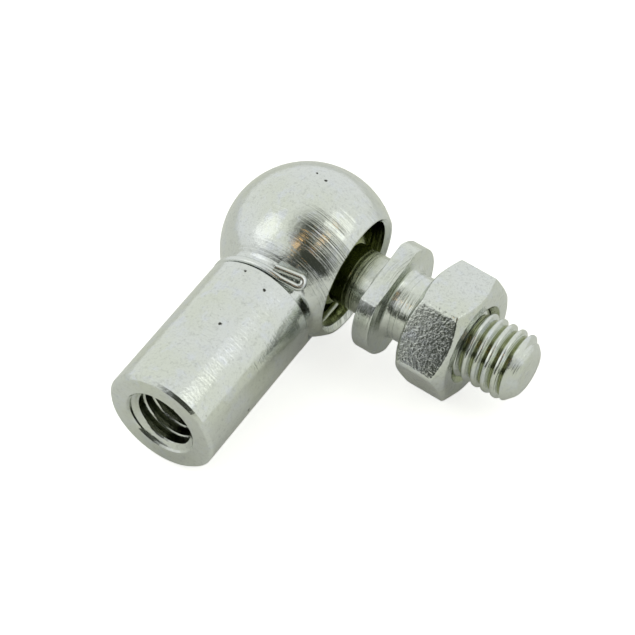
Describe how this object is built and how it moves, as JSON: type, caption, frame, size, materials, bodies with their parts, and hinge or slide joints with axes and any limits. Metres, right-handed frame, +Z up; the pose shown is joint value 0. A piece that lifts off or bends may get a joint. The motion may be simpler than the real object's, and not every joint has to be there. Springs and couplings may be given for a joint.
{
  "type": "angle ball joint",
  "caption": "Steel angle ball joint: a ball stud with a threaded end and hex nut swivels in the side of a tapped socket, kept in by a bent wire safety clip.",
  "frame": {"origin": "centre of the ball, about which the two arms swivel", "axes": "+Z up from the surface the joint lies on; in plan the socket's shank points along -Y and the ball stud along +X, and both arms dip a little from the head to that surface"},
  "size_m": [0.0478, 0.0476, 0.024],
  "materials": {
    "socket_steel": "bright zinc plate, satin, fine turning rings",
    "spring_wire": "bright zinc plated spring wire",
    "stud_steel": "bright zinc plate, turned",
    "nut_steel": "bright zinc plate, slightly mottled"
  },
  "bodies": {
    "socket": {"ball_socket": "socket_steel", "safety_clip": "spring_wire"},
    "stud": {"ball_stud": "stud_steel"},
    "nut": {"hex_nut": "nut_steel"}
  },
  "joints": [
    {"name": "ball_swing", "type": "hinge", "parent": "socket", "child": "stud", "pos_m": [0, 0, 0], "axis": [0.1876, -0.1138, 0.9756], "range_deg": [-14.8, 20.6]},
    {"name": "nut_turn", "type": "hinge", "parent": "stud", "child": "nut", "pos_m": [0.02339, -0.00082, -0.00337], "axis": [0.9892, -0.0345, -0.1425], "continuous": true}
  ]
}
